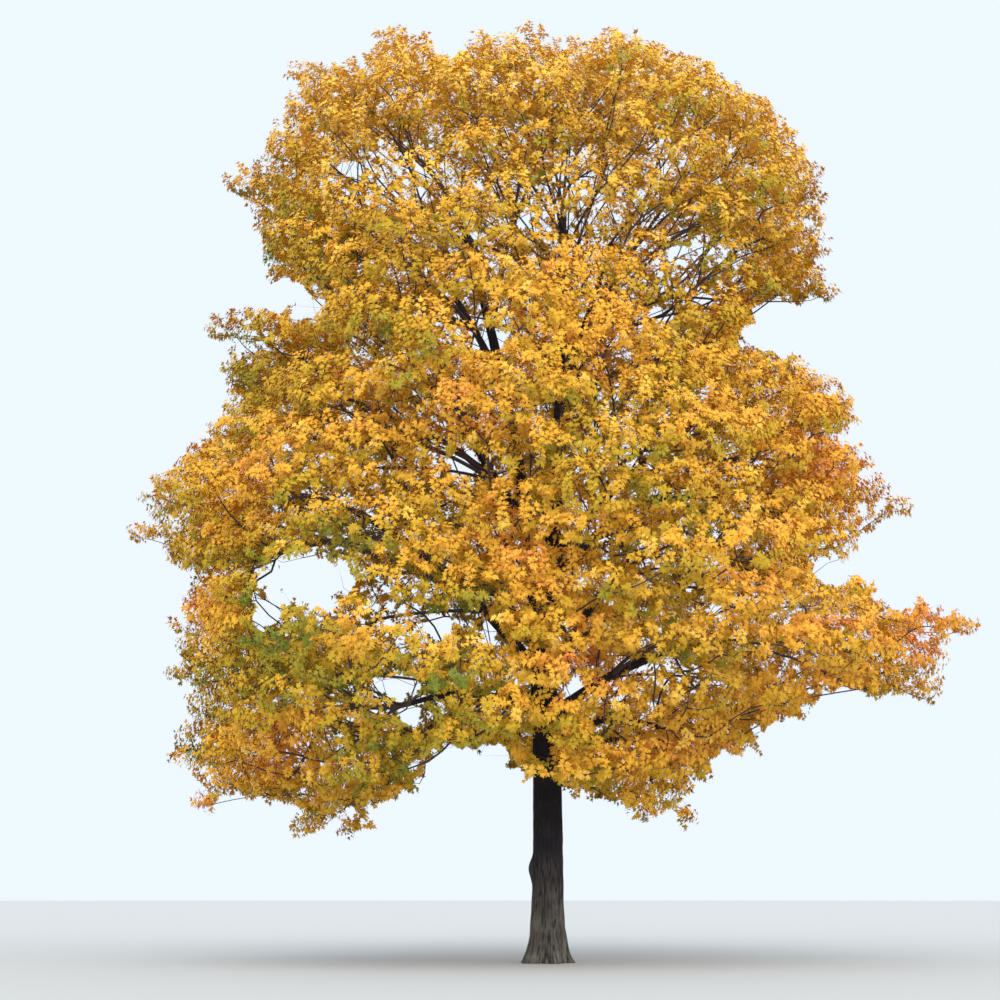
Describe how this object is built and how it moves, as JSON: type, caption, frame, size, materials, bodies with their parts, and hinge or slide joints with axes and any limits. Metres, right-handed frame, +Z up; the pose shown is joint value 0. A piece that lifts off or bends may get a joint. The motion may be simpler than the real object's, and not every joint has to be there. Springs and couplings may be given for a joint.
{
  "type": "silver maple tree",
  "caption": "Large deciduous tree in full gold and orange autumn leaf: short bare trunk with root flare, forked leaders, spreading boughs and a dense, slightly open crown",
  "frame": {"origin": "middle of the flat cut under the trunk, at ground level", "axes": "+Z is up along the trunk, the side seen in the picture faces -Y, and +X is to the right in the picture"},
  "size_m": [16.9206, 15.5157, 19.9565],
  "materials": {
    "bark": "rough, furrowed, dark grey-brown bark",
    "autumn_leaves": "dull gold and orange leaves in sprays, on thin brown twigs"
  },
  "bodies": {
    "root": {"bough_lower_1": "bark", "bough_lower_2": "bark", "bough_lower_3": "bark", "bough_lower_4": "bark", "bough_middle_1": "bark", "bough_middle_2": "bark", "bough_middle_3": "bark", "bough_middle_4": "bark", "bough_skirt_1": "bark", "bough_skirt_2": "bark", "bough_skirt_3": "bark", "bough_skirt_4": "bark", "bough_upper_1": "bark", "bough_upper_2": "bark", "bough_upper_3": "bark", "leader_left": "bark", "leader_right": "bark", "leaves_lower_1": "autumn_leaves", "leaves_lower_2": "autumn_leaves", "leaves_lower_3": "autumn_leaves", "leaves_lower_4": "autumn_leaves", "leaves_lower_5": "autumn_leaves", "leaves_lower_6": "autumn_leaves", "leaves_lower_7": "autumn_leaves", "leaves_lower_8": "autumn_leaves", "leaves_middle_1": "autumn_leaves", "leaves_middle_2": "autumn_leaves", "leaves_middle_3": "autumn_leaves", "leaves_middle_4": "autumn_leaves", "leaves_middle_5": "autumn_leaves", "leaves_middle_6": "autumn_leaves", "leaves_middle_7": "autumn_leaves", "leaves_middle_8": "autumn_leaves", "leaves_peak": "autumn_leaves", "leaves_skirt_1": "autumn_leaves", "leaves_skirt_2": "autumn_leaves", "leaves_skirt_3": "autumn_leaves", "leaves_skirt_4": "autumn_leaves", "leaves_skirt_5": "autumn_leaves", "leaves_skirt_6": "autumn_leaves", "leaves_skirt_7": "autumn_leaves", "leaves_skirt_8": "autumn_leaves", "leaves_top_1": "autumn_leaves", "leaves_top_2": "autumn_leaves", "leaves_top_3": "autumn_leaves", "leaves_top_4": "autumn_leaves", "leaves_top_5": "autumn_leaves", "leaves_upper_1": "autumn_leaves", "leaves_upper_2": "autumn_leaves", "leaves_upper_3": "autumn_leaves", "leaves_upper_4": "autumn_leaves", "leaves_upper_5": "autumn_leaves", "leaves_upper_6": "autumn_leaves", "trunk": "bark"}
  },
  "joints": []
}
